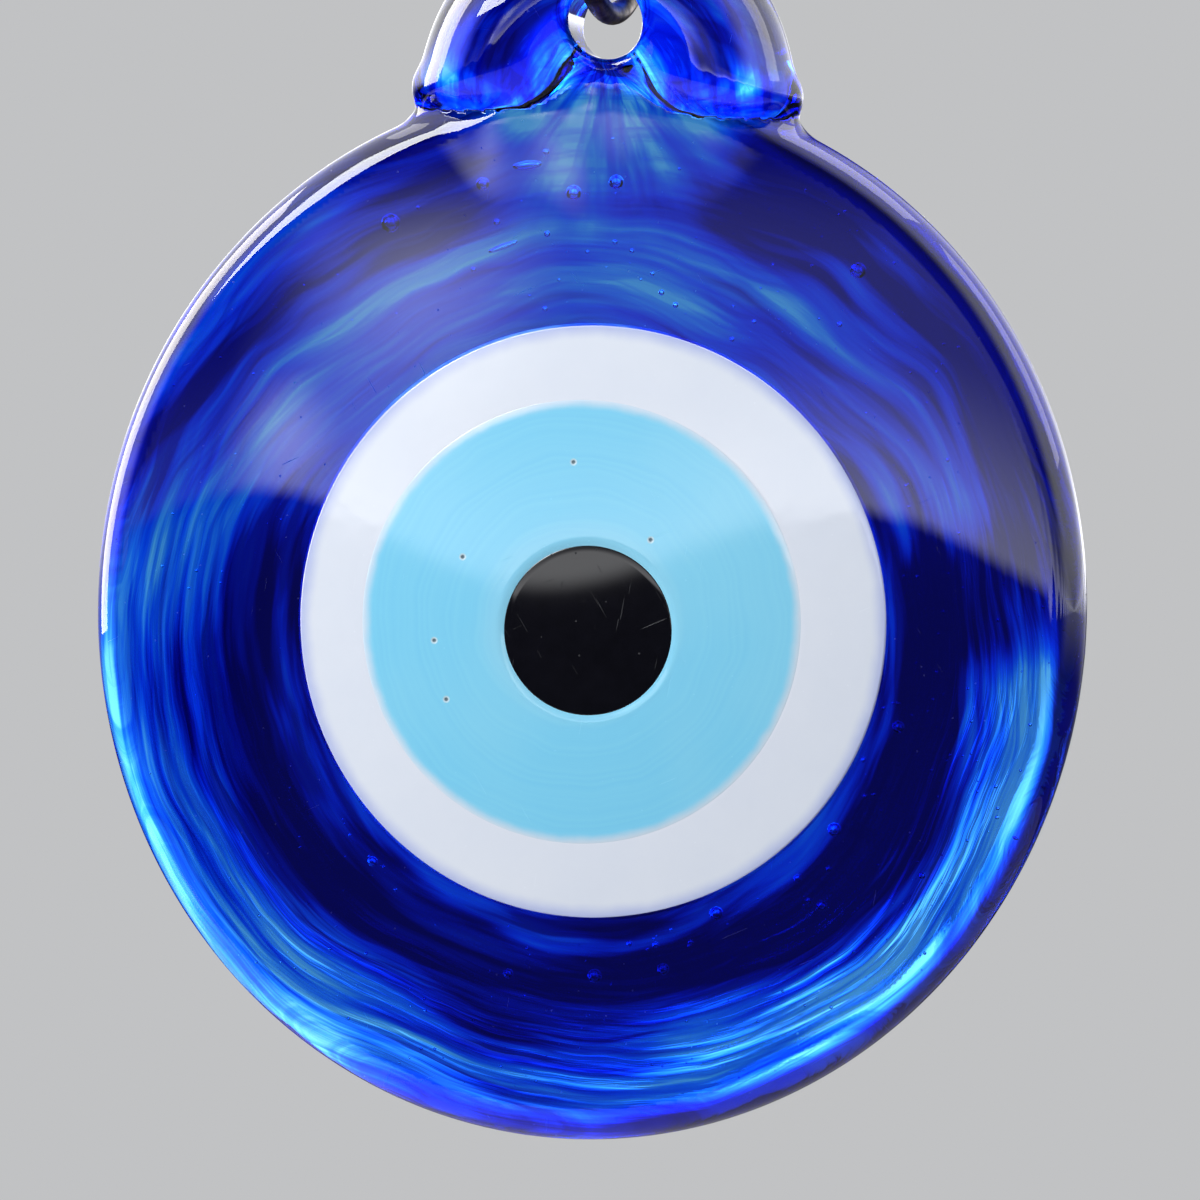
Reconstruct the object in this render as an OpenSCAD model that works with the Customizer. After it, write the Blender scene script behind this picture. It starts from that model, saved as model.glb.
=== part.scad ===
// Glass eye charm with a thick hanging lug, on a plain wire ring.
// X runs across the disc to the right, Y from its front to its back, Z up. Millimetres.
// The origin is the top of the ring's inside, where the ring hangs.

/* [Disc] */
// Width of the glass disc
disc_w = 50; // [44:1:60]
// How much taller the disc is than wide, which makes it egg-round
stretch = 3.6; // [1:0.2:5]
// How much smaller the radius of the egg's upper end is than that of its lower end
top_in = 0.5; // [0.1:0.1:1]
// Depth from the middle plane to the crown of the front
front_d = 3.6; // [3.2:0.1:4]
// Depth from the middle plane to the flat back
back_d = 2.7; // [2.2:0.1:3.2]
// How far the crowned front falls back from its middle to the widest part of the rim
crown_drop = 1.5; // [1:0.1:1.7]
// Radius of the rim's front edge
front_round = 1.6; // [1:0.1:1.8]
// Radius of the rim's back edge
back_round = 1.4; // [0.8:0.1:1.8]

/* [Lug] */
// Width of the arched lug
lug_w = 19.2; // [17:0.1:22]
// Thickness of the arch, front to back
lug_t = 8; // [7:0.1:8.4]
// How far the middle of the arch lies under the top of the disc
lug_sink = 1.1; // [0.6:0.1:1.6]
// How far the arch's legs taper down into the disc
leg_drop = 1.2; // [0.8:0.1:1.8]
// Thickness of the web under the hole, front to back
web_t = 4.8; // [4:0.1:5.4]
// Width of the web at its foot
web_w = 10; // [8:0.5:12]
// Height of the web's foot under the middle of the arch
web_drop = 5; // [3:0.5:7]

/* [Hole] */
// Bore of the hanging hole
hole_d = 3.7; // [3.5:0.05:4]
// Height of the hole's middle above the middle of the arch
hole_up = 3.75; // [3.4:0.05:4]
// Radius of the hole's rounded mouths
mouth_round = 0.8; // [0.6:0.1:1]

/* [Eye] */
// Distance of the eye's middle to the right of the disc's middle
eye_right = 0.5; // [0:0.1:1]
// Height of the eye's middle above the disc's widest line
eye_up = 1; // [0:0.1:1.6]
// Width of the white glass
white_w = 29.4; // [27:0.2:32]
// Depth of the white glass in its middle
white_depth = 2.6; // [2.4:0.1:3]
// Width of the pale blue iris
iris_w = 21.8; // [18:0.2:23]
// Depth of the iris in its middle
iris_depth = 1.8; // [1.6:0.1:2]
// Distance of the iris's middle to the left of the eye's middle
iris_left = 0.6; // [0:0.1:1]
// Width of the black pupil
pupil_w = 8.4; // [6:0.2:10]
// Depth of the pupil in its middle
pupil_depth = 1; // [0.8:0.1:1.2]
// Distance of the pupil's middle to the left of the eye's middle
pupil_left = 0.2; // [0:0.1:0.6]
// Height of the pupil's middle under the eye's middle
pupil_under = 0.4; // [0:0.1:0.8]
// Gap between the glasses that are pressed into each other
glass_gap = 0.03; // [0.02:0.01:0.06]

/* [Ring] */
// Inner width of the wire ring
ring_in = 18; // [17:0.5:26]
// Thickness of the wire
wire_d = 1.1; // [0.9:0.05:1.2]
// Gap between the wire and the top of the hole
ring_gap = 0.25; // [0.2:0.05:0.4]
// How far the ring is turned in the hole, in degrees
ring_turn = 4; // [0:1:5]

/* [Hidden] */
$fn = 64;

disc_r = disc_w / 2;
lug_r = lug_w / 2;
leg_r = lug_t / 2;
hole_r = hole_d / 2;
wire_r = wire_d / 2;
ring_r_in = ring_in / 2;

// The egg is two round discs, the upper one a stretch above the lower.
top_r = disc_r - top_in;
disc_top = stretch + top_r;
crown_up = stretch / 2;

// The crowned front is part of a ball. This is how far it has fallen back at a distance from the crown.
crown_r = (pow(disc_r, 2) + pow(crown_drop, 2)) / (2 * crown_drop);
function fall(half) = crown_r - sqrt(pow(crown_r, 2) - pow(half, 2));

// The straight stretch of the bore ends where its rounded mouths start.
bore_half = leg_r - mouth_round;

// Heights, from the ring's inner top down
ring_z = -ring_r_in;
hole_z = ring_z - sqrt(pow(ring_r_in, 2) - pow(bore_half, 2)) + ring_gap - hole_r;
lug_z = hole_z - hole_up;
disc_z = lug_z + lug_sink - disc_top;

// How far cutting shapes reach past what they cut
PAST = 1;
// Straight steps that the crown's section is drawn with, and sides of the bowls' circles
CROWN_STEPS = 9;
BOWL_FN = 240;
// Slope of the disc's front next to its rounded edge, a little steeper than the crown there
EDGE_SLOPE = 8;

// Turns a profile's Y into depth, so that the shape made from it by rotate_extrude faces the front
module facing() {
    rotate([-90, 0, 0]) children();
}

// Half section of a disc: a rounded edge at the front and the back, and a front that slopes up past the crown
module half_section(r) {
    edge_x = r - front_round;
    edge_y = fall(disc_r - front_round) - front_d + front_round;
    slope_x = edge_x + front_round * sin(EDGE_SLOPE);
    slope_y = edge_y - front_round * cos(EDGE_SLOPE);
    polygon([
        [0, back_d],
        [0, slope_y - slope_x * tan(EDGE_SLOPE)],
        [slope_x, slope_y],
        [r, edge_y],
        [r, back_d - back_round],
        [r - back_round, back_d]
    ]);
    translate([edge_x, edge_y]) circle(front_round);
    translate([r - back_round, back_d - back_round]) circle(back_round);
}

// Cap of a ball facing the front: its deepest point lies under the crown, and it is cut off at a half width
module ball_cap(r, deepest, half, height) {
    facing()
        rotate_extrude()
            intersection() {
                translate([0, deepest - r]) circle(r, $fn = BOWL_FN);
                translate([0, deepest - height]) square([half, height + PAST]);
            }
}

// Everything behind the crowned front
module behind_crown() {
    half = disc_r + stretch;
    translate([0, 0, crown_up])
        facing()
            rotate_extrude()
                polygon(concat(
                    [for (i = [0 : CROWN_STEPS]) let (x = half * i / CROWN_STEPS) [x, fall(x) - front_d]],
                    [[half, back_d + PAST], [0, back_d + PAST]]
                ));
}

// The bowl that a glass drop of this width and depth fills, about the eye's middle
module bowl(w, depth, left = 0, under = 0, gap = 0) {
    cap = depth - fall(w / 2);
    r = (pow(w / 2, 2) + pow(cap, 2)) / (2 * cap);
    translate([eye_right - left, 0, eye_up - under])
        ball_cap(r + gap, depth - front_d + gap, w / 2 + 3 * PAST, depth + PAST);
}

module white_bowl(gap = 0) {
    bowl(white_w, white_depth, gap = gap);
}

module iris_bowl(gap = 0) {
    bowl(iris_w, iris_depth, left = iris_left, gap = gap);
}

module pupil_bowl(gap = 0) {
    bowl(pupil_w, pupil_depth, left = pupil_left, under = pupil_under, gap = gap);
}

// The egg-round disc with its crowned front and the bowl that the white glass fills
module disc() {
    difference() {
        intersection() {
            union() {
                facing() rotate_extrude() half_section(disc_r);
                translate([0, 0, stretch]) facing() rotate_extrude() half_section(top_r);
            }
            behind_crown();
        }
        white_bowl(glass_gap);
    }
}

// The arch over the hole, with short legs that taper into the disc
module arch() {
    rotate([90, 0, 0])
        rotate_extrude(angle = 180)
            translate([lug_r - leg_r, 0]) circle(leg_r);
    for (side = [-1, 1])
        translate([side * (lug_r - leg_r), 0, -leg_drop])
            cylinder(h = leg_drop, r1 = leg_r - leg_drop, r2 = leg_r);
}

// The fan-shaped web that runs up from the disc to the underside of the hole
module web() {
    top = hole_up - hole_r / 2;
    rotate([90, 0, 0])
        linear_extrude(web_t, center = true)
            polygon([
                [-web_w / 2, -web_drop],
                [web_w / 2, -web_drop],
                [hole_r, top],
                [-hole_r, top]
            ]);
}

// The hanging hole: a straight bore that opens into a rounded mouth at each end
module hole() {
    reach = leg_r + PAST;
    facing()
        rotate_extrude()
            difference() {
                translate([0, -reach]) square([hole_r + mouth_round, 2 * reach]);
                translate([hole_r, -bore_half]) square([mouth_round + PAST, 2 * bore_half]);
                for (end = [-1, 1])
                    translate([hole_r + mouth_round, end * bore_half]) circle(mouth_round);
            }
}

module glass_body() {
    color([0.03, 0.1, 0.72, 0.75])
        difference() {
            union() {
                translate([0, 0, disc_z]) disc();
                translate([0, 0, lug_z]) {
                    arch();
                    web();
                }
            }
            translate([0, 0, hole_z]) hole();
        }
}

module white_disc() {
    color("white")
        translate([0, 0, disc_z])
            difference() {
                intersection() {
                    white_bowl();
                    behind_crown();
                }
                iris_bowl(glass_gap);
            }
}

module iris_disc() {
    color("skyblue")
        translate([0, 0, disc_z])
            difference() {
                intersection() {
                    iris_bowl();
                    behind_crown();
                }
                pupil_bowl(glass_gap);
            }
}

module pupil() {
    color("black")
        translate([0, 0, disc_z])
            intersection() {
                pupil_bowl();
                behind_crown();
            }
}

module wire_ring() {
    color([0.2, 0.13, 0.1])
        translate([0, 0, ring_z])
            rotate([0, 0, -ring_turn])
                rotate([0, 90, 0])
                    rotate_extrude()
                        translate([ring_r_in + wire_r, 0]) circle(wire_r);
}

glass_body();
white_disc();
iris_disc();
pupil();
wire_ring();
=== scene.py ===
import math

import bmesh
import bpy
import numpy as np
from mathutils import Matrix, Vector


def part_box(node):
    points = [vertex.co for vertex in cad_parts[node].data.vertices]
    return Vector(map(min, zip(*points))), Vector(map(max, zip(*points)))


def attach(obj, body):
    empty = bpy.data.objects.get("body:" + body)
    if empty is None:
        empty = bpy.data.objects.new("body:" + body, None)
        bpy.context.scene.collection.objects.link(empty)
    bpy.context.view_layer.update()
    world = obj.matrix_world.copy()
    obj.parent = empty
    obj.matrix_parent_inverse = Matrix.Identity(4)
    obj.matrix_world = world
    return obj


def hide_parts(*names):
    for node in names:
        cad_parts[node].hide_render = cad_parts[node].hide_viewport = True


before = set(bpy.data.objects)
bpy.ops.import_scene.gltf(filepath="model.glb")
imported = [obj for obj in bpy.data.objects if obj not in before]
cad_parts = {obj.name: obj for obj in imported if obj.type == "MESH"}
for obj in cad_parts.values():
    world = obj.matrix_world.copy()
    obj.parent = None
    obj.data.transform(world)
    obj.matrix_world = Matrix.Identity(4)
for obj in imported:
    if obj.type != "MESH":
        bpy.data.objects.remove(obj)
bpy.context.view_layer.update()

MM = 0.001

# The view. The pendant hangs free before a plain ground. The camera stands a little to its right and
# above, as far off as a close-up is taken, and the frame's edge cuts off the top of the lug.
camera_azimuth = 9
camera_elevation = 2
camera_distance = 380
camera_lean = 1.95
field_width = 59.75
film_width = 36
aim = Vector((0.66, -1, -47.72)) * MM
side, rise = math.radians(camera_azimuth), math.radians(camera_elevation)
back = Vector((math.sin(side) * math.cos(rise), -math.cos(side) * math.cos(rise), math.sin(rise)))
camera = bpy.data.objects.new("camera", bpy.data.cameras.new("camera"))
bpy.context.scene.collection.objects.link(camera)
camera.data.sensor_width = film_width
camera.data.lens = film_width * camera_distance / field_width
camera.data.clip_start = 0.01
camera.location = aim + back * camera_distance * MM
look = (-back).to_track_quat("-Z", "Y").to_matrix()
camera.rotation_euler = (look @ Matrix.Rotation(math.radians(camera_lean), 3, "Z")).to_euler()
bpy.context.scene.camera = camera

# The body of the pendant is one piece of poured cobalt glass: an egg-round disc with a low crown in
# front and a soft belly behind, and a thick horseshoe of the same glass laid on its upper edge while
# hot. A fan of glass is drawn up between the two bulbous ends to the rim of the hanging hole.
hole_z = -19.012
hole_radius = 1.85
mouth_radius = 0.7
arch_z = hole_z - 3.75
arch_radius = 5.6
tube_radius = 4
disc_z = arch_z - 27.0
crown_z = disc_z + 1.8
crown_ball = 209.08
front_depth = 3.6
back_depth = 2.7
rim_front_round = 1.6
rim_back_round = 0.8
belly_width = 8.5
belly_depth = 2.3
eye_x, eye_z = 0.6, disc_z + 1
white_width, white_depth = 29.6, 2.6
# How far the blue glass reaches into the white one round the bowl, and how softly the bowl's edge is rounded.
bowl_inset, bowl_edge = 0.35, 0.25
# The outline is round, with one slow wave that makes it egg-shaped and one that makes it taller than wide.
egg_radius = 25.62
egg_waves = [(1, -0.05, 1.36), (2, -0.73, 0.055)]
# The fan's top and foot, how thick it is at the top, and how wide it is there.
fan_top, fan_foot, fan_thick, fan_half = -19.4, -29.5, 2.5, 1.75
# Where the horseshoe's ends start to close over the middle of the arch, and over what height they do.
end_start, end_height = 1.9, 2.75
# Each end stands on a narrow post in the disc's edge: how far out it stands, its radius and half its height.
post_out, post_radius, post_half = 7.4, 2.1, 1.5
mesh_step = 0.26


def crown_depth(x, z):
    """How deep the low crown of the front lies at a place, along Y."""
    out = np.hypot(x, z - crown_z)
    return crown_ball - np.sqrt(crown_ball ** 2 - out ** 2) - front_depth


def ball_of(width, depth):
    """Radius of the ball whose cap under the crown has this width and depth."""
    half = width / 2
    cap = depth - (crown_ball - math.sqrt(crown_ball ** 2 - half ** 2))
    return (half ** 2 + cap ** 2) / (2 * cap)


def overlap(a, b, r):
    """Where two forms overlap, with the edge between them rounded to r."""
    return np.minimum(np.maximum(a, b), -r) + np.hypot(np.maximum(a + r, 0), np.maximum(b + r, 0))


def melted(a, b, r):
    """Two forms run together, with the crease between them filled to r."""
    near = np.maximum(r - np.abs(a - b), 0) / r
    return np.minimum(a, b) - near * near * r / 4


def swell(x, y, z, seed, size):
    """Slow swells of the hot glass, between about -1 and 1."""
    rng = np.random.default_rng(seed)
    total = 0
    for _ in range(6):
        way = rng.normal(size=3)
        way *= rng.uniform(0.7, 1.5) / (np.linalg.norm(way) * size)
        phase = rng.uniform(0, 2 * math.pi)
        total = total + np.sin(2 * math.pi * (x * way[0] + y * way[1] + z * way[2]) + phase)
    return total / 4


def disc_form(x, y, z):
    """The egg-round disc: less than zero inside the glass."""
    up = z - disc_z
    turn = np.arctan2(up, x)
    egg = egg_radius
    for count, cosine, sine in egg_waves:
        egg = egg + cosine * np.cos(count * turn) + sine * np.sin(count * turn)
    edge = np.hypot(x, up) - egg
    front = crown_depth(x, z) + 0.035 * swell(x, 0, z, 3, 17)
    inward = np.clip(1 + edge / belly_width, 0, 1)
    behind = back_depth - belly_depth * (1 - np.sqrt(1 - inward ** 2 * 0.97))
    behind = behind + 0.05 * swell(x, 0, z, 5, 12)
    ripple = np.sin(2.2 * (edge + 1.2 * swell(x, 0, z, 7, 16)))
    behind = behind + 0.05 * ripple * np.clip(1.3 + edge / 7, 0, 1) * np.clip(-edge / 2, 0, 1)
    return overlap(overlap(edge, front - y, rim_front_round), y - behind, rim_back_round)


def fan_form(x, y, z):
    """The fan of glass that runs up from the disc to the rim of the hole."""
    down = np.clip((-20.6 - z) / 2.2, 0, 4)
    half = fan_half + 2.7 * down ** 1.3
    thick = fan_thick - 0.28 * down - 0.012 * x ** 2 + 0.12 * np.cos(1.1 * x)
    fan = overlap(np.abs(x) - half, np.abs(y) - thick, 1.0)
    return overlap(overlap(fan, z - fan_top, 0.8), fan_foot - z, 0.8)


def horseshoe_form(x, y, z):
    """The thick loop over the hole, whose two ends bulge over the disc's edge."""
    over = z - arch_z
    end = np.clip((end_start - over) / end_height, 0, 0.995)
    tube = tube_radius * (1 - end ** 3) ** (1 / 3)
    tube = tube + 0.12 * swell(x, y, z, 9, 9) - 0.1
    along = np.where(over > 0, np.hypot(x, over), np.abs(x)) - arch_radius - end ** 2
    loop = np.maximum(np.hypot(along, y) - tube, -over - 1.2)
    post = np.hypot(np.abs(x) - post_out, 1.7 * y) - post_radius
    post = overlap(post, np.abs(over + 0.6) - post_half, 0.6)
    return melted(loop, post, 1.2)


def glass_form(x, y, z):
    """The whole body, with its hanging hole and the bowl that the eye sits in."""
    body = melted(disc_form(x, y, z), fan_form(x, y, z), 1.3)
    body = melted(body, horseshoe_form(x, y, z), 1.3)
    hole_x = 0.15 - 0.03 * y
    hole = np.hypot(x - hole_x, z - hole_z) - hole_radius
    body = overlap(body, -hole, mouth_radius)
    ball = ball_of(white_width, white_depth)
    deep = y - white_depth + front_depth + ball
    bowl = np.sqrt((x - eye_x) ** 2 + deep ** 2 + (z - eye_z) ** 2)
    return overlap(body, ball - bowl - bowl_inset, bowl_edge)


def slices(axis, first, count):
    """A pick of every cell, from a first one on along one axis."""
    pick = [slice(None)] * 3
    pick[axis] = slice(first, first + count)
    return tuple(pick)


def net_of(form, low, high, step):
    """Points and four-sided faces of the surface where a form is zero."""
    axes = [np.arange(low[i], high[i] + step, step) for i in range(3)]
    field = form(*np.meshgrid(*axes, indexing="ij"))
    inside = field < 0
    shape = np.array(field.shape)
    total = np.zeros((*(shape - 1), 3))
    count = np.zeros(shape - 1)
    crossings = []
    for axis in range(3):
        first = slices(axis, 0, shape[axis] - 1)
        second = slices(axis, 1, shape[axis] - 1)
        a, b = field[first], field[second]
        crossed = inside[first] != inside[second]
        part = np.where(crossed, a / np.where(crossed, a - b, 1), 0)
        crossings.append((crossed, inside[first]))
        u_axis, v_axis = [i for i in range(3) if i != axis]
        for u in (0, 1):
            for v in (0, 1):
                pick = [slice(None)] * 3
                pick[u_axis] = slice(u, shape[u_axis] - 1 + u)
                pick[v_axis] = slice(v, shape[v_axis] - 1 + v)
                hit = crossed[tuple(pick)]
                count += hit
                total[..., axis] += part[tuple(pick)]
                total[..., u_axis] += hit * u
                total[..., v_axis] += hit * v
    cells = np.argwhere(count > 0)
    number = np.full(shape - 1, -1)
    number[tuple(cells.T)] = np.arange(len(cells))
    points = cells + total[tuple(cells.T)] / count[tuple(cells.T)][:, None]
    points = points * step + np.array([a[0] for a in axes])
    faces = []
    for axis in range(3):
        crossed, starts_in = crossings[axis]
        u, v = [(1, 2), (2, 0), (0, 1)][axis]
        at = np.argwhere(crossed)
        corners = []
        for du, dv in ((1, 1), (0, 1), (0, 0), (1, 0)):
            corner = at.copy()
            corner[:, u] -= du
            corner[:, v] -= dv
            corners.append(number[tuple(corner.T)])
        quads = np.stack(corners, 1)
        flip = ~starts_in[tuple(at.T)]
        quads[flip] = quads[flip][:, ::-1]
        faces.append(quads)
    return points, np.concatenate(faces)


def slope_of(form, points, reach=0.02):
    """The way in which a form grows at each point, and its value there."""
    x, y, z = points.T
    slope = np.stack([
        form(x + reach, y, z) - form(x - reach, y, z),
        form(x, y + reach, z) - form(x, y - reach, z),
        form(x, y, z + reach) - form(x, y, z - reach),
    ], 1) / (2 * reach)
    return slope, form(x, y, z)


def smooth_piece(name, points, faces, normals=None):
    """A smooth mesh object from points in millimetres."""
    mesh = bpy.data.meshes.new(name)
    mesh.from_pydata((np.asarray(points) * MM).tolist(), [], faces)
    mesh.polygons.foreach_set("use_smooth", [True] * len(mesh.polygons))
    mesh.update()
    if normals is not None:
        mesh.normals_split_custom_set_from_vertices(normals.tolist())
    piece = bpy.data.objects.new(name, mesh)
    bpy.context.scene.collection.objects.link(piece)
    return piece


# The net's box is a little wider than the glass. The net is then drawn onto the form in short steps.
net_low, net_high = (-25.6, -4.6, -75.4), (25.6, 4.6, -12.4)
draw_steps, longest_draw = 4, 0.2
points, faces = net_of(glass_form, net_low, net_high, mesh_step)
for _ in range(draw_steps):
    slope, value = slope_of(glass_form, points)
    draw = (value / np.maximum((slope ** 2).sum(1), 0.2)).clip(-longest_draw, longest_draw)
    points = points - slope * draw[:, None]
slope, value = slope_of(glass_form, points)
normals = slope / np.linalg.norm(slope, axis=1)[:, None]
faces = faces.tolist()

# The poured glass holds air: a few dozen round bubbles of up to half a millimetre in radius, two that were
# drawn out long, and many tiny seeds. Each is a hollow in the body, walled by its own surface.
# A bubble's figures: across and up from the disc's middle, depth, radius, how drawn out, and its tilt.
bubbles = [
    (-10.4, 20.4, -1.5, 0.5), (-5.8, 22.5, -1.6, 0.35), (-1.2, 22.2, -1.6, 0.4), (0.9, 22.8, -1.6, 0.38),
    (13.1, 18.8, -1.5, 0.42), (7.2, -13.2, -1.8, 0.36), (15.9, -3.6, -1.6, 0.32), (12.9, -8.8, -1.5, 0.36),
    (1.2, -16.6, -1.7, 0.37), (4.6, -16.1, -1.5, 0.31), (-3.2, -16.7, -1.3, 0.27), (-10.2, -11.4, -1.6, 0.27),
    (12.4, -12.6, -1.4, 0.26), (11.1, -11.3, -1.0, 0.2), (11.6, -12.4, -0.2, 0.17), (12.5, -10.8, 0.3, 0.15),
    (17.3, -10.9, -1.2, 0.17), (-2.7, 24.2, -1.2, 0.16), (-5.1, 20.6, -0.8, 0.18), (-2.5, 20.1, -1.2, 0.16),
    (-6.2, 18.2, -0.6, 0.14), (3.4, 17.4, -1.8, 0.15), (4.1, 16.8, -1.6, 0.15), (-2.4, 16.4, -1.8, 0.14),
    (0.9, 19.8, -1.0, 0.13), (1.8, 19.4, -1.4, 0.12), (2.8, 18.3, -0.8, 0.12), (-9.1, 21.2, -0.6, 0.12),
    (12.2, 16.1, -0.8, 0.15), (7.0, 15.2, -1.8, 0.13), (8.0, 16.1, -1.2, 0.12), (4.2, -14.9, -1.6, 0.17),
    (5.9, -14.7, -1.2, 0.15), (2.9, -14.9, -1.7, 0.15), (14.2, -5.3, -1.2, 0.14), (14.3, -7.1, -1.0, 0.13),
    (-3.6, 23.5, -1.5, 0.24, 3.2, 8), (-4.7, 19.4, -1.2, 0.15, 5.5, 22),
]
bubble_flat = 0.94
seed_count = 300
# Seeds lie in a ring round the eye, between these distances from its middle.
seeds_from, seeds_to = 15.6, 24.2
# This share of them lies in the lower arc, between two angles from the right.
arc_share, seed_arc = 0.7, (-2.6, 1.2)
# A seed's least radius, how much larger it may be, how deep seeds lie, and how much glass is over them.
seed_radius, seed_growth = 0.04, 0.07
seed_depths, seed_cover = (0.45, 3.05), 0.3

air_tree = bpy.data.node_groups.new("air bubbles", "GeometryNodeTree")
air_tree.interface.new_socket("Geometry", in_out="INPUT", socket_type="NodeSocketGeometry")
air_tree.interface.new_socket("Bubble radius", in_out="INPUT", socket_type="NodeSocketFloat")
air_tree.interface.new_socket("Fineness", in_out="INPUT", socket_type="NodeSocketInt")
air_tree.interface.new_socket("Glass", in_out="INPUT", socket_type="NodeSocketMaterial")
air_tree.interface.new_socket("Geometry", in_out="OUTPUT", socket_type="NodeSocketGeometry")


def placed(tree, kind, feeds=None, **settings):
    """A node with its settings, and with what feeds each of its sockets."""
    made = tree.nodes.new(kind)
    for key, value in settings.items():
        setattr(made, key, value)
    for key, value in (feeds or {}).items():
        if isinstance(value, bpy.types.NodeSocket):
            tree.links.new(value, made.inputs[key])
        else:
            made.inputs[key].default_value = value
    return made


inlet = placed(air_tree, "NodeGroupInput").outputs
ball = placed(air_tree, "GeometryNodeMeshIcoSphere", {"Radius": inlet[1], "Subdivisions": inlet[2]})
size_field = placed(air_tree, "GeometryNodeInputNamedAttribute", {"Name": "size"}, data_type="FLOAT_VECTOR")
turn_field = placed(air_tree, "GeometryNodeInputNamedAttribute", {"Name": "turn"}, data_type="FLOAT_VECTOR")
strewn = placed(air_tree, "GeometryNodeInstanceOnPoints", {
    "Points": inlet[0], "Instance": ball.outputs["Mesh"],
    "Rotation": turn_field.outputs["Attribute"], "Scale": size_field.outputs["Attribute"]})
real = placed(air_tree, "GeometryNodeRealizeInstances", {"Geometry": strewn.outputs["Instances"]})
walled = placed(air_tree, "GeometryNodeFlipFaces", {"Mesh": real.outputs["Geometry"]})
dressed = placed(air_tree, "GeometryNodeSetMaterial", {
    "Geometry": walled.outputs["Mesh"], "Material": inlet[3]})
placed(air_tree, "NodeGroupOutput", {"Geometry": dressed.outputs["Geometry"]})
cobalt = bpy.data.materials.new("cobalt glass")


def air_in_glass(name, spots, sizes, turns, fineness):
    """Points and faces of the walls of round hollows of these sizes at these spots."""
    mesh = bpy.data.meshes.new(name)
    mesh.from_pydata((np.array(spots) * MM).tolist(), [], [])
    for label, values in (("size", sizes), ("turn", turns)):
        attribute = mesh.attributes.new(label, "FLOAT_VECTOR", "POINT")
        attribute.data.foreach_set("vector", np.array(values, float).ravel())
    air = bpy.data.objects.new(name, mesh)
    bpy.context.scene.collection.objects.link(air)
    sprinkle = air.modifiers.new(name, "NODES")
    sprinkle.node_group = air_tree
    inputs = {"Bubble radius": MM, "Fineness": fineness, "Glass": cobalt}
    for item in air_tree.interface.items_tree:
        if item.in_out == "INPUT" and item.name in inputs:
            sprinkle[item.identifier] = inputs[item.name]
    bpy.context.view_layer.update()
    ready = bpy.data.meshes.new_from_object(air.evaluated_get(bpy.context.evaluated_depsgraph_get()))
    bpy.data.objects.remove(air)
    walls = [list(face.vertices) for face in ready.polygons]
    return np.array([vertex.co for vertex in ready.vertices]) / MM, walls


round_spots, round_sizes, round_turns = [], [], []
for across, up, deep, radius, *drawn in bubbles:
    long, tilt = drawn or (1, 0)
    round_spots.append((across, deep, up + disc_z))
    round_sizes.append((radius * long, radius * bubble_flat, radius))
    round_turns.append((0, -math.radians(tilt), 0))
rng = np.random.default_rng(41)
seed_spots, seed_sizes = [], []
while len(seed_spots) < seed_count:
    turn = rng.uniform(*seed_arc) if rng.random() < arc_share else rng.uniform(-math.pi, math.pi)
    out = math.sqrt(rng.uniform(seeds_from ** 2, seeds_to ** 2))
    x, z = out * math.cos(turn), disc_z + 1 + out * math.sin(turn)
    y = crown_depth(x, z) + rng.uniform(*seed_depths)
    radius = seed_radius + seed_growth * rng.random() ** 2
    if glass_form(np.array([x]), np.array([y]), np.array([z]))[0] < -seed_cover:
        seed_spots.append((x, y, z))
        seed_sizes.append((radius, radius, radius))
for name, spots, sizes, turns, fineness in (
    ("round air", round_spots, round_sizes, round_turns, 2),
    ("fine air", seed_spots, seed_sizes, [(0, 0, 0)] * seed_count, 1),
):
    more_points, more_faces = air_in_glass(name, spots, sizes, turns, fineness)
    faces += [[corner + len(points) for corner in face] for face in more_faces]
    points = np.concatenate([points, more_points])
    normals = np.concatenate([normals, np.zeros_like(more_points)])
glass = smooth_piece("cobalt_glass_body", points, faces, normals)
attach(glass, "pendant")
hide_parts("glass_body")


def worked(tree, operation, *values):
    """The outcome of one step of arithmetic in a node tree."""
    return placed(tree, "ShaderNodeMath", dict(enumerate(values)), operation=operation).outputs[0]


def eased(tree, value, start, end, first, last):
    """A soft step from one value to another."""
    feeds = {0: value, 1: start, 2: end, 3: first, 4: last}
    return placed(tree, "ShaderNodeMapRange", feeds, interpolation_type="SMOOTHSTEP").outputs[0]


def between(tree, part, a, b):
    """A number that goes from one to another as part goes from 0 to 1."""
    return placed(tree, "ShaderNodeMix", {"Factor": part, "A": a, "B": b}, data_type="FLOAT").outputs[0]


def noise(tree, place, scale, detail, rough=0.5):
    """Soft random mottle, between 0 and 1."""
    feeds = {"Vector": place, "Scale": scale, "Detail": detail, "Roughness": rough}
    return placed(tree, "ShaderNodeTexNoise", feeds).outputs["Fac"]


def vector_of(tree, operation, output, *values):
    """The outcome of one step of arithmetic on places."""
    return placed(tree, "ShaderNodeVectorMath", dict(enumerate(values)), operation=operation).outputs[output]


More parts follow.
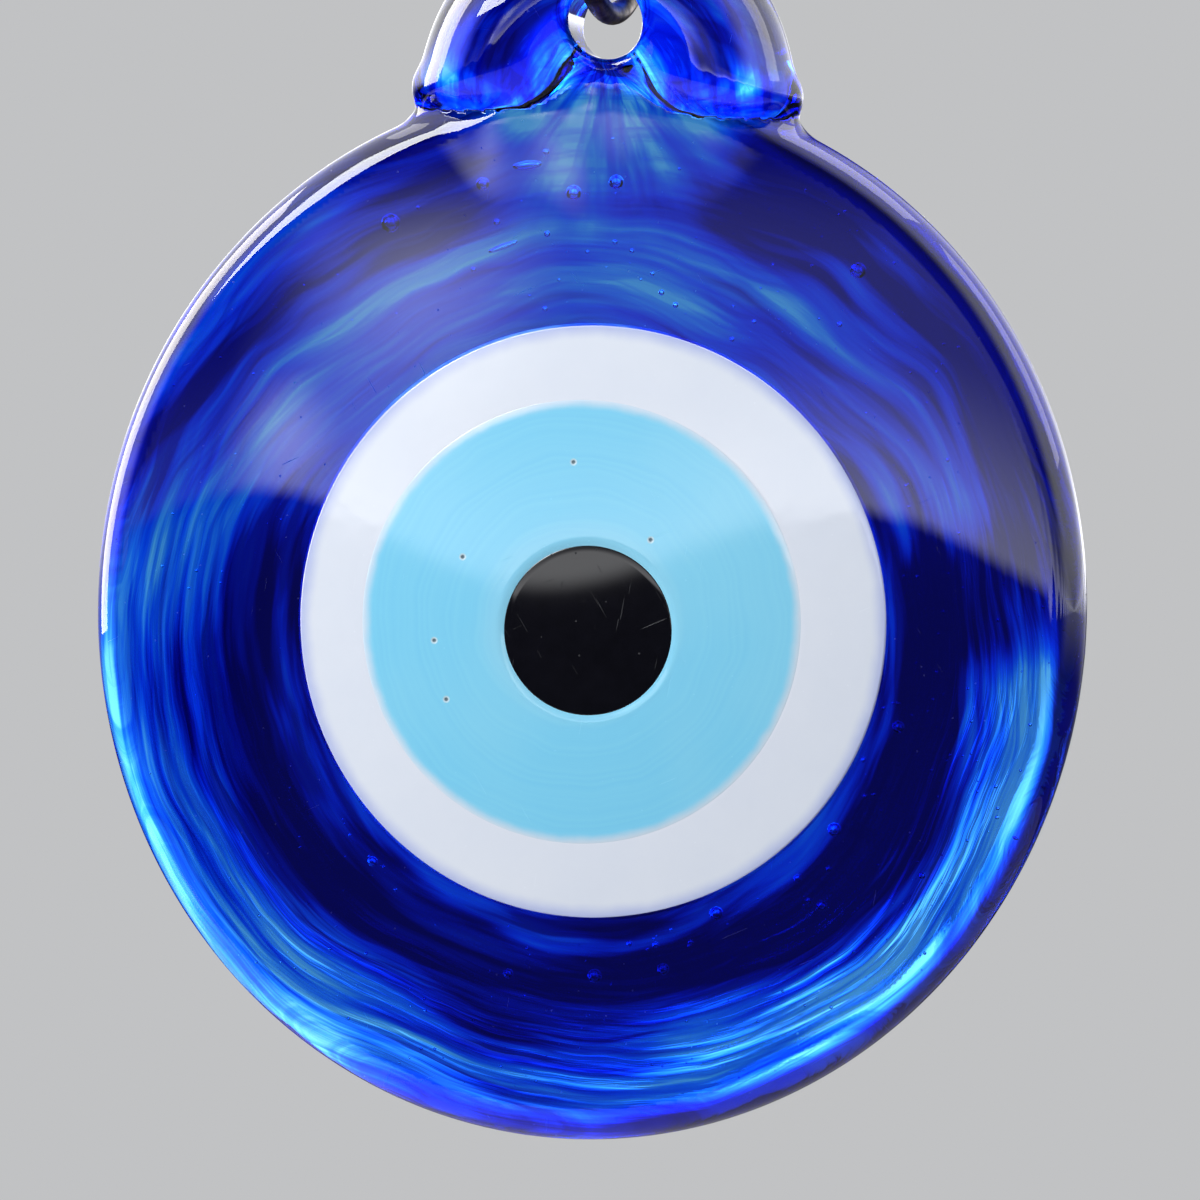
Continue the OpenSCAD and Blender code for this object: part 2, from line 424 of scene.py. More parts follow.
# The cobalt is streaked, because it was wound round while it was soft: dense navy next to the eye, thin
# azure towards the lower rim, partly painted light that stands in for light glowing through the thin rim,
# and a middling blue above that fans out from the foot of the hole. In the horseshoe the streaks run along
# the loop. Radii are told from the disc's middle.
navy_starts, navy_ends = (15.3, 16.5), (17.2, 20.4)
upper_rim, rim_shade_band = (18.0, 24.0), (23.2, 24.2)
foot_up, loop_up, loop_middle = 29.0, arch_z - disc_z, 6.0
swirls = bpy.data.node_groups.new("cobalt swirls", "ShaderNodeTree")
swirls.interface.new_socket("Place", in_out="INPUT", socket_type="NodeSocketVector")
swirls.interface.new_socket("Dye", in_out="OUTPUT", socket_type="NodeSocketFloat")
swirls.interface.new_socket("Striae", in_out="OUTPUT", socket_type="NodeSocketFloat")
swirls.interface.new_socket("Air", in_out="OUTPUT", socket_type="NodeSocketFloat")
place = placed(swirls, "NodeGroupInput").outputs["Place"]
px, py, pz = placed(swirls, "ShaderNodeSeparateXYZ", {0: place}).outputs
flat = placed(swirls, "ShaderNodeCombineXYZ", {0: px, 2: pz}).outputs[0]
radius = vector_of(swirls, "LENGTH", "Value", flat)
flat_way = vector_of(swirls, "NORMALIZE", "Vector", flat)
ux, _, uz = placed(swirls, "ShaderNodeSeparateXYZ", {0: flat_way}).outputs

# The arcs drift off true circles, and curl a little above the eye.
drifted = worked(swirls, "MULTIPLY_ADD", noise(swirls, place, 0.08, 1), 3.0, radius)
drifted = worked(swirls, "MULTIPLY_ADD", noise(swirls, place, 0.35, 1), 0.3, drifted)
curled = eased(swirls, pz, 5.0, 12.0, 0.0, 1.6)
drifted = worked(swirls, "MULTIPLY_ADD", noise(swirls, place, 0.16, 1), curled, drifted)


def arcs(along, across, through, detail):
    """Noise drawn out into arcs round the disc."""
    depth = worked(swirls, "MULTIPLY_ADD", py, through, worked(swirls, "MULTIPLY", drifted, across))
    feeds = {0: worked(swirls, "MULTIPLY", ux, along), 1: worked(swirls, "MULTIPLY", uz, along), 2: depth}
    return noise(swirls, placed(swirls, "ShaderNodeCombineXYZ", feeds).outputs[0], 1, detail, 0.6)


# Broad, middling and thread-fine streaks add up to a change in the dye. The threads liven towards the rim.
wide = arcs(1.1, 0.28, 0.05, 1)
streak = arcs(1.4, 0.85, 0.12, 2)
thread = arcs(1.5, 2.6, 0.2, 4)
lower = eased(swirls, pz, 1.0, 12.0, 1.0, 0.0)
lively = eased(swirls, radius, 16.5, 19.5, 0.8, between(swirls, lower, 0.8, 1.9))
change = worked(swirls, "MULTIPLY", worked(swirls, "SUBTRACT", streak, 0.5), 2.3)
change = worked(swirls, "MULTIPLY_ADD", worked(swirls, "SUBTRACT", thread, 0.5), lively, change)
change = worked(swirls, "MULTIPLY_ADD", worked(swirls, "SUBTRACT", wide, 0.5), 1.6, change)
change = worked(swirls, "MULTIPLY", change, eased(swirls, radius, 0.5, 8.0, 0.0, 1.0))

# How dense the dye is in each zone: rings about the eye below, evener above, and darker at both sides there.
dense = between(swirls, eased(swirls, radius, *navy_starts, 0.0, 1.0), 0.55, 1.02)
# Painted light: past the navy the dye thins, standing in for light glowing through the lower rim.
dense = between(swirls, eased(swirls, radius, *navy_ends, 0.0, 1.0), dense, 0.27)
zone = between(swirls, lower, eased(swirls, radius, *upper_rim, 0.12, 0.46), dense)
zone = worked(swirls, "ADD", zone, eased(swirls, worked(swirls, "ABSOLUTE", px), 3.0, 13.0, 0.0, 0.05))
sides = eased(swirls, px, -3.0, -12.0, 0.04, 0.13)
sides = worked(swirls, "ADD", sides, eased(swirls, px, 2.0, 12.0, 0.0, 0.32))
zone = worked(swirls, "ADD", zone, worked(swirls, "MULTIPLY", sides,
                                          eased(swirls, pz, 4.0, 12.0, 0.0, 1.0)))

# Painted light: the dye thins to pale blue at the lower right of the rim and to azure at its lower left,
# standing in for light glowing through the rim there.
pale = worked(swirls, "MULTIPLY_ADD", ux, 0.82, worked(swirls, "MULTIPLY", uz, -0.57))
pale = worked(swirls, "MULTIPLY", eased(swirls, pale, 0.6, 0.98, 0.0, 0.16),
              eased(swirls, radius, 18.5, 21.0, 0.0, 1.0))
zone = worked(swirls, "SUBTRACT", zone, pale)
azure_rim_glow = worked(swirls, "MULTIPLY_ADD", ux, -0.85, worked(swirls, "MULTIPLY", uz, -0.53))
azure_rim_glow = worked(swirls, "MULTIPLY", eased(swirls, azure_rim_glow, 0.66, 1.0, 0.0, 0.3),
               eased(swirls, radius, 19.5, 22.0, 0.0, 1.0))
zone = worked(swirls, "SUBTRACT", zone, azure_rim_glow)
zone = worked(swirls, "ADD", zone, eased(swirls, uz, -0.8, -1.0, 0.0, 0.1))
dye = worked(swirls, "MULTIPLY_ADD", change, eased(swirls, pz, -2.0, 12.0, 1.0, 0.85), zone)

# Rays of thin dye spread from the foot of the hole.
foot = vector_of(swirls, "SUBTRACT", "Vector", flat, (0, 0, foot_up))
foot_far = vector_of(swirls, "LENGTH", "Value", foot)
foot_way = vector_of(swirls, "NORMALIZE", "Vector", foot)
foot_x, _, foot_z = placed(swirls, "ShaderNodeSeparateXYZ", {0: foot_way}).outputs
rays = placed(swirls, "ShaderNodeCombineXYZ", {
    0: worked(swirls, "MULTIPLY", foot_x, 4.0),
    1: worked(swirls, "MULTIPLY", foot_z, 4.0),
    2: worked(swirls, "MULTIPLY", foot_far, 0.12)}).outputs[0]
rays = worked(swirls, "MULTIPLY_ADD", worked(swirls, "SUBTRACT", noise(swirls, rays, 1, 3), 0.5), 2.6, 0.04)
rays = worked(swirls, "ADD", rays, eased(swirls, foot_far, 0.5, 2.6, 0.7, 0.0))
dye = between(swirls, eased(swirls, foot_far, 4.0, 11.0, 1.0, 0.0), dye, rays)

# In the horseshoe the streaks run round the hole and down both ends.
loop = placed(swirls, "ShaderNodeCombineXYZ", {
    0: px, 1: worked(swirls, "MAXIMUM", worked(swirls, "SUBTRACT", pz, loop_up), 0.0)}).outputs[0]
loop = vector_of(swirls, "LENGTH", "Value", loop)
loops = placed(swirls, "ShaderNodeCombineXYZ", {
    0: worked(swirls, "MULTIPLY", loop, 1.3), 1: worked(swirls, "MULTIPLY", py, 0.5),
    2: worked(swirls, "MULTIPLY", pz, 0.22)}).outputs[0]
loops = worked(swirls, "MULTIPLY_ADD", worked(swirls, "SUBTRACT", noise(swirls, loops, 1, 3), 0.5), 3.8, 0.42)
off_middle = worked(swirls, "ABSOLUTE", worked(swirls, "SUBTRACT", loop, loop_middle))
in_loop = eased(swirls, off_middle, 3.0, 4.0, 1.0, 0.0)
in_loop = worked(swirls, "MULTIPLY", in_loop, eased(swirls, pz, 25.8, 26.8, 0.0, 1.0))
dye = between(swirls, in_loop, dye, loops)

# Painted shade: the dye is darker in a patch at the right and in one under each end of the horseshoe.
shade = vector_of(swirls, "DISTANCE", "Value", flat, (20.3, 0, 3.2))
dye = worked(swirls, "ADD", dye, eased(swirls, shade, 2.0, 5.0, 0.5, 0.0))
shoulder_shade = placed(swirls, "ShaderNodeCombineXYZ", {0: worked(swirls, "ABSOLUTE", px), 2: pz}).outputs[0]
shoulder_shade = vector_of(swirls, "DISTANCE", "Value", shoulder_shade, (9.5, 0, 23.3))
dye = worked(swirls, "ADD", dye, eased(swirls, shoulder_shade, 2.0, 6.5, 0.3, 0.0))

# The dye never quite ends and never turns black. The outer rim is darkened at its right in the lower half, as
# painted shade.
least = between(swirls, lower, 0.03, eased(swirls, radius, 18.0, 22.0, 0.3, 0.04))
least = worked(swirls, "MULTIPLY_ADD", worked(swirls, "SUBTRACT", thread, 0.5), 0.7, least)
dye = worked(swirls, "MAXIMUM", dye, least)
dye = worked(swirls, "MINIMUM", dye, between(swirls, lower, 0.78, 0.88))
# Painted shade on the right of the outer rim.
right_rim_shade = worked(swirls, "MULTIPLY", eased(swirls, radius, *rim_shade_band, 0.0, 1.0),
                 eased(swirls, ux, -0.15, 0.45, 0.0, 1.15))
dye = worked(swirls, "ADD", dye, worked(swirls, "MULTIPLY", right_rim_shade, lower))

# The walls of air bubbles, told by their depth under the crown, are clear: there is no dye of their own.
crown = worked(swirls, "MULTIPLY", worked(swirls, "MULTIPLY", radius, radius), 0.5 / crown_ball)
under = worked(swirls, "SUBTRACT", worked(swirls, "ADD", py, front_depth), crown)
within = worked(swirls, "SUBTRACT", radius, eased(swirls, pz, 10.0, 20.0, 0.0, 1.8))
walls = worked(swirls, "MULTIPLY", eased(swirls, under, 0.35, 0.45, 0.0, 1.0),
               eased(swirls, py, 0.4, 0.5, 1.0, 0.0))
walls = worked(swirls, "MULTIPLY", walls, eased(swirls, within, 23.2, 23.4, 1.0, 0.0))
dye = worked(swirls, "MULTIPLY", dye, worked(swirls, "SUBTRACT", 1.0, walls))

# The streaks stand up a little on the back, most where they are busiest.
rough = worked(swirls, "MULTIPLY", eased(swirls, py, -1.2, 1.2, 0.0, 1.0),
               eased(swirls, radius, 15.0, 21.0, 0.8, 3.0))
rough = worked(swirls, "MULTIPLY", rough, eased(swirls, radius, 21.5, 24.0, 1.0, 0.1))
rough = worked(swirls, "MULTIPLY", rough, eased(swirls, pz, 22.0, 25.0, 1.0, 0.15))
rough = worked(swirls, "MULTIPLY", rough, eased(swirls, pz, 2.0, 14.0, 1.0, 0.45))
rough = worked(swirls, "ADD", rough, 0.015)
rough = worked(swirls, "MULTIPLY", rough, eased(swirls, radius, 1.0, 8.0, 0.0, 1.0))
striae = worked(swirls, "MULTIPLY", worked(swirls, "MULTIPLY_ADD", thread, 0.22, streak), rough)
placed(swirls, "NodeGroupOutput", {"Dye": dye, "Striae": striae, "Air": walls})

# Every glass of the pendant has been handled: fine straight scratches in a few directions, and tiny pits.
handling = bpy.data.node_groups.new("handling marks", "ShaderNodeTree")
handling.interface.new_socket("Place", in_out="INPUT", socket_type="NodeSocketVector")
handling.interface.new_socket("Share", in_out="INPUT", socket_type="NodeSocketFloat")
handling.interface.new_socket("Marks", in_out="OUTPUT", socket_type="NodeSocketFloat")
inlet = placed(handling, "NodeGroupInput").outputs
marks = 0.0
for turn, stretch, offset in ((25, 9.0, 0), (-58, 11.0, 40), (82, 8.0, 80)):
    turned = placed(handling, "ShaderNodeMapping", {
        0: inlet[0], 1: (offset, 0, offset), 2: (0, math.radians(turn), 0)}).outputs[0]
    turned = vector_of(handling, "MULTIPLY", "Vector", turned, (0.35, 0.4, stretch))
    line = worked(handling, "ADD", noise(handling, turned, 1, 1), inlet[1])
    marks = worked(handling, "MAXIMUM", eased(handling, line, 0.78, 0.82, 0.0, 1.0), marks)
dots = placed(handling, "ShaderNodeTexVoronoi", {"Vector": inlet[0], "Scale": 1.1}).outputs["Distance"]
marks = worked(handling, "MAXIMUM", marks, eased(handling, dots, 0.04, 0.07, 1.0, 0.0))
placed(handling, "NodeGroupOutput", {"Marks": marks})
in_mm = (1 / MM, 1 / MM, 1 / MM)


def glass_finish(material, middle, share):
    """Opens a glass's material: its tree, shader, coordinates in mm from its middle, and handling marks."""
    material.use_nodes = True
    tree = material.node_tree
    where = placed(tree, "ShaderNodeTexCoord").outputs["Object"]
    shift = tuple(-c for c in middle)
    place = placed(tree, "ShaderNodeMapping", {0: where, 1: shift, 3: in_mm}).outputs[0]
    worn = placed(tree, "ShaderNodeGroup", node_tree=handling)
    tree.links.new(place, worn.inputs["Place"])
    worn.inputs["Share"].default_value = share
    return tree, tree.nodes["Principled BSDF"], place, worn.outputs["Marks"]


def raised(tree, shader, height, strength, distance):
    """Lets a height pattern stand out from a surface by a distance in millimetres."""
    feeds = {"Height": height, "Strength": strength, "Distance": distance * MM}
    tree.links.new(placed(tree, "ShaderNodeBump", feeds).outputs[0], shader.inputs["Normal"])


def blended(tree, part, a, b):
    """A colour that goes from one to another as part goes from 0 to 1."""
    made = placed(tree, "ShaderNodeMix", data_type="RGBA")
    for socket, value in ((made.inputs[0], part), (made.inputs[6], a), (made.inputs[7], b)):
        if isinstance(value, bpy.types.NodeSocket):
            tree.links.new(value, socket)
        else:
            socket.default_value = (*value, 1) if isinstance(value, tuple) else value
    return made.outputs[2]


tree, shader, place, marks = glass_finish(cobalt, (0, 0, disc_z), 0.0)
wound = placed(tree, "ShaderNodeGroup", node_tree=swirls)
tree.links.new(place, wound.inputs["Place"])
ramp = placed(tree, "ShaderNodeValToRGB", {0: wound.outputs["Dye"]})
# The tint that each density of the dye gives to what crosses the surface, from pale azure to near black.
stops = [
    (0.0, (0.24, 0.68, 1)), (0.14, (0.04, 0.29, 1)), (0.32, (0.005, 0.11, 1)), (0.5, (0.003, 0.045, 0.86)),
    (0.66, (0.001, 0.014, 0.5)), (0.78, (0.0005, 0.002, 0.25)), (0.9, (0.0005, 0.001, 0.1)),
    (1.0, (0.0003, 0.0006, 0.04)),
]
while len(ramp.color_ramp.elements) < len(stops):
    ramp.color_ramp.elements.new(0.5)
for element, (position, colour) in zip(ramp.color_ramp.elements, stops):
    element.position = position
    element.color = (*colour, 1)
tint = blended(tree, wound.outputs["Air"], ramp.outputs[0], (0.85, 0.95, 1.0))
tree.links.new(tint, shader.inputs["Base Color"])
raised(tree, shader, wound.outputs["Striae"], 0.5, 0.2)
tree.links.new(worked(tree, "MULTIPLY", marks, 0.35), shader.inputs["Roughness"])
shader.inputs["Transmission Weight"].default_value = 1
shader.inputs["IOR"].default_value = 1.5
soak = placed(tree, "ShaderNodeVolumeAbsorption", {"Color": (0.03, 0.6, 0.975, 1), "Density": 230})
tree.links.new(soak.outputs[0], tree.nodes["Material Output"].inputs["Volume"])
glass.data.materials.append(cobalt)

# The eye is three drops of opaque glass pressed one into the other while the blue glass was soft:
# white, then pale blue, then black. Each sits in the one before it, flush with the crown of the front.

# Points in each round row, and rows in the bowl, the rounded lip, the face and the recess.
drop_turns = 192
bowl_rows, lip_rows, face_rows, recess_rows = 22, 12, 16, 14
# The innermost row lies at this share of a drop's radius.
first_round = 0.04
# How deep the lip reaches under the crown, and how thick a drop is at least.
lip_depth, least_thick = 0.2, 0.3


def drop_of_glass(name, centre, width, depth, proud, lip, recess=None):
    """A closed lens of glass under the crown, with a recess for the drop that is pressed into it."""
    turns = np.linspace(0, 2 * math.pi, drop_turns, endpoint=False)
    half = width / 2
    rows = []

    def circle(radius, middle=centre):
        return middle[0] + radius * np.cos(turns), middle[1] + radius * np.sin(turns)

    def cap(x, z, middle, wide, deep):
        ball = ball_of(wide, deep)
        rest = ball ** 2 - (x - middle[0]) ** 2 - (z - middle[1]) ** 2
        return deep - front_depth - ball + np.sqrt(np.maximum(rest, 0))

    for part in np.linspace(first_round, 1, bowl_rows):
        x, z = circle(half * part)
        low = np.maximum(cap(x, z, centre, width, depth), crown_depth(x, z) + least_thick)
        rows.append(np.stack([x, low, z], 1))
    for step in np.linspace(0, 1, lip_rows):
        x, z = circle(half - lip * step)
        sunk = (1 - step) ** 2 * (proud + lip_depth)
        rows.append(np.stack([x, crown_depth(x, z) - proud + sunk, z], 1))
    middle, inner = (recess[0], recess[1] / 2) if recess else (centre, first_round * half)
    outer_x, outer_z = circle(half - lip)
    inner_x, inner_z = circle(inner, middle)
    for part in np.linspace(0, 1, face_rows)[1:]:
        x = outer_x + (inner_x - outer_x) * part
        z = outer_z + (inner_z - outer_z) * part
        rows.append(np.stack([x, crown_depth(x, z) - proud, z], 1))
    if recess:
        for part in np.linspace(1, first_round, recess_rows)[1:]:
            x, z = circle(inner * part, middle)
            rows.append(np.stack([x, cap(x, z, *recess), z], 1))
    faces = [tuple(range(drop_turns))[::-1]]
    for i in range(len(rows) - 1):
        for j in range(drop_turns):
            k = (j + 1) % drop_turns
            low, high = i * drop_turns, (i + 1) * drop_turns
            faces.append((low + j, low + k, high + k, high + j))
    faces.append(tuple((len(rows) - 1) * drop_turns + j for j in range(drop_turns)))
    piece = smooth_piece(name, np.concatenate(rows), faces)
    shape = bmesh.new()
    shape.from_mesh(piece.data)
    bmesh.ops.recalc_face_normals(shape, faces=shape.faces)
    shape.to_mesh(piece.data)
    shape.free()
    return piece


def pressed_in(piece, old):
    """The drop moves with the pendant and stands for its plain solid."""
    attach(piece, "pendant")
    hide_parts(old)


def out_on_face(tree, place):
    """Distance from the middle of a drop, across its face."""
    return vector_of(tree, "LENGTH", "Value", vector_of(tree, "MULTIPLY", "Vector", place, (1, 0, 1)))


iris_centre, iris_width, iris_depth = (0.1, eye_z), 22.3, 1.8
pupil_centre, pupil_width, pupil_depth = (0.51, eye_z - 0.4), 8.7, 1

# White glass is the widest drop. Blue bleeds a little into its rim, and it is faintly clouded.
white = drop_of_glass("white_glass_drop", (eye_x, eye_z), white_width, white_depth, 0.03, 0.2,
                      (iris_centre, 21.7, 1.7))
pressed_in(white, "white_disc")
milk = bpy.data.materials.new("white glass")
tree, shader, place, marks = glass_finish(milk, (eye_x, 0, eye_z), -0.02)
wander = worked(tree, "SUBTRACT", noise(tree, place, 0.6, 2), 0.5)
out = worked(tree, "MULTIPLY_ADD", wander, 0.35, out_on_face(tree, place))
cloud = blended(tree, noise(tree, place, 0.25, 3), (0.78, 0.84, 0.96), (0.85, 0.90, 0.99))
rimmed = blended(tree, eased(tree, out, 13.9, 14.8, 0.0, 0.7), cloud, (0.36, 0.44, 0.86))
tree.links.new(rimmed, shader.inputs["Base Color"])
dimples = worked(tree, "MULTIPLY", noise(tree, place, 0.8, 1), 0.4)
raised(tree, shader, worked(tree, "MULTIPLY_ADD", marks, -0.1, dimples), 0.4, 0.04)
tree.links.new(worked(tree, "MULTIPLY_ADD", marks, 0.3, 0.05), shader.inputs["Roughness"])
white.data.materials.append(milk)

# Pale blue glass is wound in rings, a little milky, whitish where it meets the white, with open pits. Each
# pit is painted dark inside as shade, with a pale ring round it.
iris_pits = [(-6.0, 3.0), (-7.3, -1.2), (-6.6, -4.1), (-0.6, 7.9), (3.4, 4.2)]
pit_radius = 0.13
iris = drop_of_glass("iris_glass_drop", iris_centre, iris_width, iris_depth, 0.04, 0.2,
                     (pupil_centre, 8.4, 0.9))
pressed_in(iris, "iris_disc")
pale_blue = bpy.data.materials.new("pale blue glass")
tree, shader, place, marks = glass_finish(pale_blue, (iris_centre[0], 0, iris_centre[1]), 0.01)
out = out_on_face(tree, place)
wobbled = worked(tree, "MULTIPLY_ADD", noise(tree, place, 0.35, 1), 0.8, out)
rings = placed(tree, "ShaderNodeCombineXYZ", {0: worked(tree, "MULTIPLY", wobbled, 3.4)}).outputs[0]
rings = noise(tree, rings, 1, 4, 0.6)
colour = blended(tree, rings, (0.20, 0.65, 0.97), (0.28, 0.76, 0.99))
milky = eased(tree, noise(tree, place, 0.12, 1), 0.4, 0.65, 0.0, 0.35)
colour = blended(tree, milky, colour, (0.32, 0.76, 0.97))
colour = blended(tree, eased(tree, out, 4.2, 5.6, 0.16, 0.0), colour, (0.55, 0.80, 0.90))
wander = worked(tree, "SUBTRACT", noise(tree, place, 0.9, 2), 0.5)
soft = worked(tree, "MULTIPLY_ADD", wander, 0.25, out)
colour = blended(tree, eased(tree, soft, 10.45, 11.05, 0.0, 0.85), colour, (0.78, 0.85, 0.96))
hollows = 0.0
face = vector_of(tree, "MULTIPLY", "Vector", place, (1, 0, 1))
for across, up in iris_pits:
    far = vector_of(tree, "DISTANCE", "Value", face, (across, 0, up))
    edge = eased(tree, far, pit_radius, pit_radius + 0.08, 0.7, 0.0)
    colour = blended(tree, edge, colour, (0.8, 0.88, 0.92))
    # Painted shade inside the pit.
    pit_shade = eased(tree, far, pit_radius - 0.07, pit_radius, 0.85, 0.0)
    colour = blended(tree, pit_shade, colour, (0.03, 0.07, 0.1))
    hollows = worked(tree, "ADD", eased(tree, far, 0.0, pit_radius + 0.04, -2.0, 0.0), hollows)
tree.links.new(colour, shader.inputs["Base Color"])
height = worked(tree, "MULTIPLY_ADD", marks, -0.1, worked(tree, "MULTIPLY_ADD", rings, 0.15, hollows))
raised(tree, shader, height, 0.5, 0.04)
tree.links.new(worked(tree, "MULTIPLY_ADD", marks, 0.3, 0.05), shader.inputs["Roughness"])
iris.data.materials.append(pale_blue)

# Black glass is the last drop, the pupil: fire-polished, with hairline scratches.
pupil = drop_of_glass("pupil_glass_drop", pupil_centre, pupil_width, pupil_depth, 0.055, 0.2)
pressed_in(pupil, "pupil")
black = bpy.data.materials.new("black glass")
tree, shader, place, marks = glass_finish(black, (pupil_centre[0], 0, pupil_centre[1]), 0.01)
colour = blended(tree, noise(tree, place, 1.3, 3), (0.001, 0.001, 0.003), (0.004, 0.004, 0.008))
colour = blended(tree, worked(tree, "MULTIPLY", marks, 0.05), colour, (0.3, 0.32, 0.36))
tree.links.new(colour, shader.inputs["Base Color"])
raised(tree, shader, worked(tree, "MULTIPLY", marks, -0.2), 0.4, 0.04)
tree.links.new(worked(tree, "MULTIPLY_ADD", marks, 0.3, 0.04), shader.inputs["Roughness"])
pupil.data.materials.append(black)

# The wire ring is a plain loop of thin bronze wire that has gone dark, passed through the hanging hole.
# It keeps its own solid, and is rubbed bright where it hangs and where the glass bears on it.
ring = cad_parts["wire_ring"]
ring_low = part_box("wire_ring")[0][2] / MM
bronze = bpy.data.materials.new("dark bronze wire")
bronze.use_nodes = True
tree = bronze.node_tree
shader = tree.nodes["Principled BSDF"]
where = placed(tree, "ShaderNodeTexCoord").outputs["Object"]
place = placed(tree, "ShaderNodeMapping", {0: where, 3: in_mm}).outputs[0]
_, _, high = placed(tree, "ShaderNodeSeparateXYZ", {0: place}).outputs
rubbed = worked(tree, "MAXIMUM", eased(tree, high, ring_low + 0.3, ring_low + 1.6, 0.8, 0.0),
                eased(tree, high, -1.2, 0.2, 0.0, 0.8))
patina = noise(tree, place, 0.9, 4, 0.6)
rubbed = worked(tree, "MULTIPLY", rubbed, eased(tree, patina, 0.35, 0.62, 0.15, 1.0))
dark = blended(tree, eased(tree, patina, 0.35, 0.7, 0.0, 1.0), (0.03, 0.02, 0.014), (0.11, 0.075, 0.05))
tree.links.new(blended(tree, rubbed, dark, (0.20, 0.13, 0.08)), shader.inputs["Base Color"])
tree.links.new(eased(tree, patina, 0.3, 0.7, 0.5, 0.32), shader.inputs["Roughness"])
drawn = vector_of(tree, "MULTIPLY", "Vector", place, (14, 2, 2))
height = worked(tree, "MULTIPLY_ADD", noise(tree, drawn, 1, 3), 0.4, patina)
raised(tree, shader, height, 0.35, 0.05)
shader.inputs["Metallic"].default_value = 0.85
ring.data.materials.clear()
ring.data.materials.append(bronze)

# The stage is a plain pale round floor well under the pendant.
floor_radius, floor_z = 0.6, -0.3
turns = np.linspace(0, 2 * math.pi, 96, endpoint=False)
floor_points = [(floor_radius * math.cos(a), floor_radius * math.sin(a), floor_z) for a in turns]
floor_mesh = bpy.data.meshes.new("floor")
floor_mesh.from_pydata(floor_points, [], [tuple(range(len(floor_points)))])
floor = bpy.data.objects.new("floor", floor_mesh)
bpy.context.scene.collection.objects.link(floor)
plaster = bpy.data.materials.new("pale floor")
plaster.use_nodes = True
plaster.node_tree.nodes["Principled BSDF"].inputs["Base Color"].default_value = (0.41, 0.40, 0.39, 1)
plaster.node_tree.nodes["Principled BSDF"].inputs["Roughness"].default_value = 0.8
floor.data.materials.append(plaster)

# The light of the studio: a plain grey backdrop all round. What shines through the glass comes from that
# grey and from the paler light beside and above it. What mirrors in the glass is a soft sky with a low,
# wavy edge, so the upper half of the crown is hazy and the lower half clear, and a pale light on both sides.
# How far off its middle the grey ground ends, and where the paler light is full, as sines of angles.
ground_edge, glow_edge = 0.083, 0.16
ground_light = 0.55
world = bpy.data.worlds.new("studio")
bpy.context.scene.world = world
world.use_nodes = True
tree = world.node_tree
way = placed(tree, "ShaderNodeTexCoord").outputs["Generated"]
aside = vector_of(tree, "DOT_PRODUCT", "Value", way, (math.cos(side), math.sin(side), 0))
x_part, y_part, z_part = placed(tree, "ShaderNodeSeparateXYZ", {0: way}).outputs
depth = worked(tree, "MAXIMUM", worked(tree, "ABSOLUTE", y_part), 0.05)
across = worked(tree, "DIVIDE", x_part, depth)
up = worked(tree, "DIVIDE", z_part, depth)

# What glass lets through.
beside = worked(tree, "MAXIMUM", worked(tree, "ABSOLUTE", aside),
                worked(tree, "ABSOLUTE", worked(tree, "ADD", z_part, math.sin(rise))))
clear = eased(tree, beside, ground_edge, glow_edge, 0.0, 1.0)
tilted = worked(tree, "ADD", z_part, eased(tree, x_part, -0.1, 0.1, 0.0, 0.2))
glow = worked(tree, "MULTIPLY", eased(tree, worked(tree, "ABSOLUTE", x_part), 0.1, 0.28, 0.0, 1.1),
              eased(tree, tilted, -0.06, 0.06, 0.0, 1.0))
above = worked(tree, "ADD", glow, eased(tree, z_part, -0.06, 0.22, 0.0, 1.2))
above = worked(tree, "ADD", above, eased(tree, z_part, -0.4, -0.2, 0.15, 0.7))
above = worked(tree, "MULTIPLY", above, eased(tree, z_part, 0.6, 0.9, 1.0, 0.4))
above = worked(tree, "MULTIPLY", above, eased(tree, worked(tree, "ABSOLUTE", x_part), 0.42, 0.7, 1.0, 0.35))
through = between(tree, clear, ground_light, above)

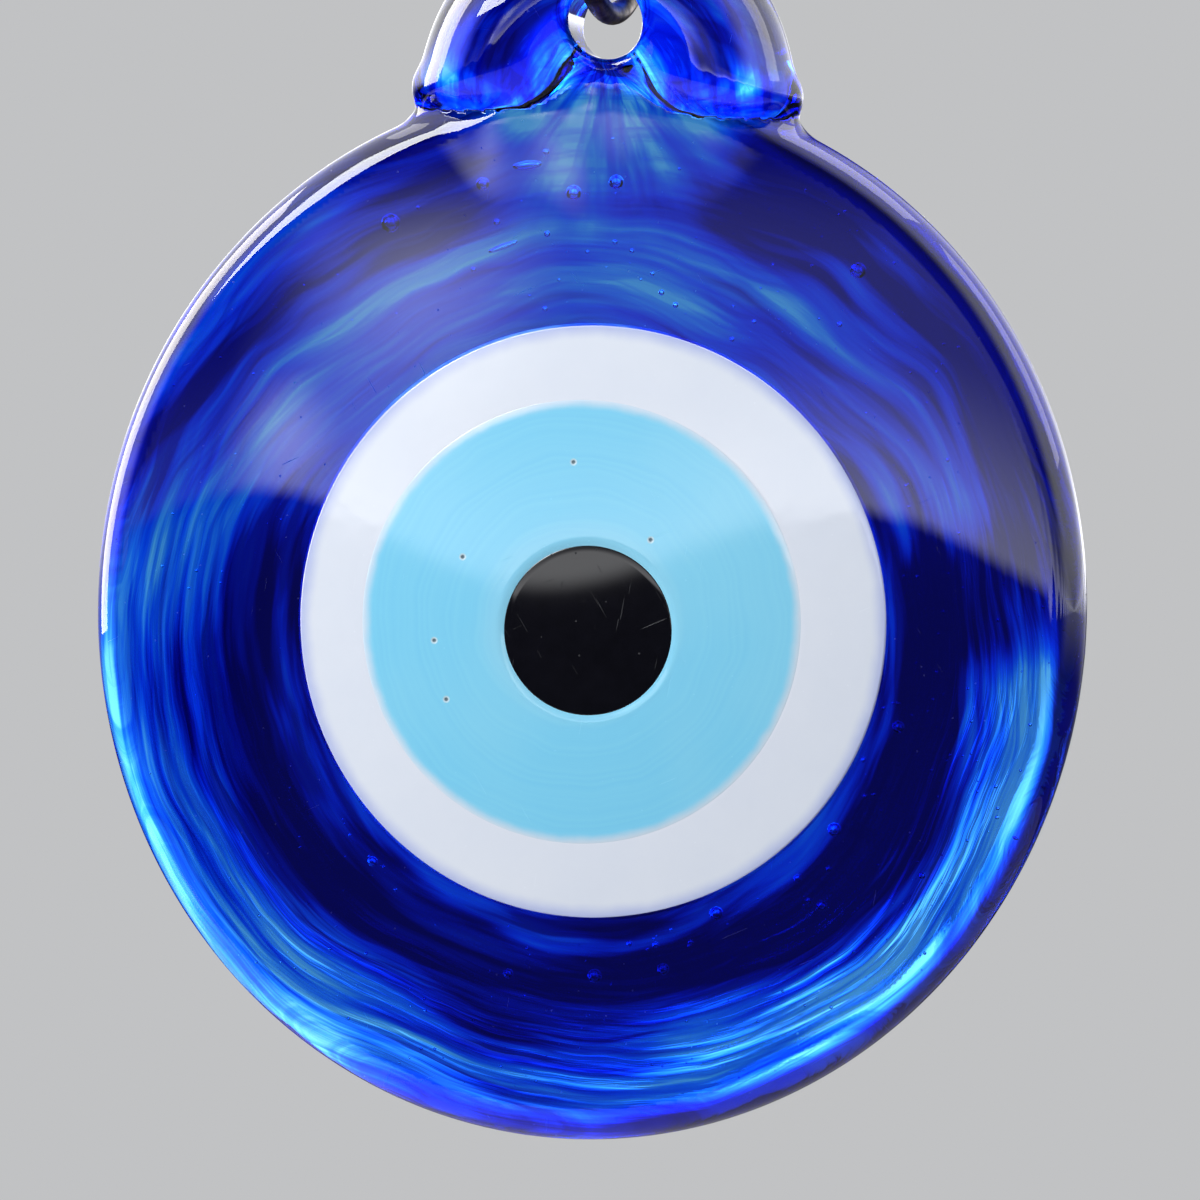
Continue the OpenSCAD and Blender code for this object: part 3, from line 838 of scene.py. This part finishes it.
# What glass mirrors, and what lights dull surfaces.
waving = worked(tree, "COSINE", worked(tree, "MULTIPLY_ADD", across, 16.5, 6.27))
over = worked(tree, "SUBTRACT", up, worked(tree, "MULTIPLY", waving, 0.026))
sky = eased(tree, over, 0.0, 0.12, 2.8, 0.55)
mirrored = placed(tree, "ShaderNodeCombineXYZ", {0: across, 1: up}).outputs[0]
spot = vector_of(tree, "DISTANCE", "Value", mirrored, (-0.275, 0.155, 0))
sky = worked(tree, "ADD", sky, eased(tree, spot, 0.0, 0.11, 3.2, 0.0))
patch = vector_of(tree, "DISTANCE", "Value", mirrored, (-0.365, 0.06, 0))
sky = worked(tree, "ADD", sky, eased(tree, patch, 0.0, 0.05, 3.0, 0.0))
sky = worked(tree, "MULTIPLY", sky, eased(tree, over, -0.006, 0.008, 0.02, 1.0))
sky = worked(tree, "MULTIPLY", sky, eased(tree, up, 0.18, 0.25, 1.0, 0.12))
sky = worked(tree, "MULTIPLY", sky, eased(tree, across, -0.41, -0.345, 0.12, 1.0))
ray = placed(tree, "ShaderNodeLightPath").outputs
rims = worked(tree, "MULTIPLY", eased(tree, worked(tree, "ABSOLUTE", x_part), 0.08, 0.35, 0.0, 2.2),
              eased(tree, y_part, -0.75, -0.35, 0.0, 1.0))
rims = worked(tree, "MULTIPLY", rims, eased(tree, z_part, -0.15, 0.15, 0.0, 1.0))
rims = worked(tree, "MULTIPLY", rims, ray["Is Glossy Ray"])
sky = worked(tree, "ADD", sky, rims)
light = between(tree, ray["Is Transmission Ray"], sky, through)
light = between(tree, ray["Is Camera Ray"], light, ground_light)
tree.links.new(light, tree.nodes["Background"].inputs["Strength"])
tree.nodes["Background"].inputs["Color"].default_value = (0.97, 0.98, 1, 1)


def softbox(name, place, wide, high, radiance, colour):
    """A soft panel of light that faces the pendant."""
    light = bpy.data.lights.new(name, "AREA")
    light.shape = "RECTANGLE"
    light.size = wide
    light.size_y = high
    light.energy = radiance * math.pi * wide * high
    light.color = colour
    lamp = bpy.data.objects.new(name, light)
    lamp.location = place
    towards = Vector((0, 0, disc_z * MM)) - Vector(place)
    lamp.rotation_euler = towards.to_track_quat("-Z", "Y").to_euler()
    lamp.visible_camera = False
    bpy.context.scene.collection.objects.link(lamp)


softbox("key panel", (-0.38, -0.42, 0.36), 0.3, 0.3, 18, (0.95, 0.97, 1))
softbox("left panel", (-0.45, 0.07, 0.1), 0.28, 0.42, 10, (1, 0.95, 0.88))
softbox("right panel", (0.45, 0.1, 0.25), 0.2, 0.3, 3, (1, 0.98, 0.95))
softbox("top panel", (0.0, 0.06, 0.45), 0.7, 0.3, 4, (1, 0.98, 0.95))
bpy.context.scene.view_settings.view_transform = "Standard"
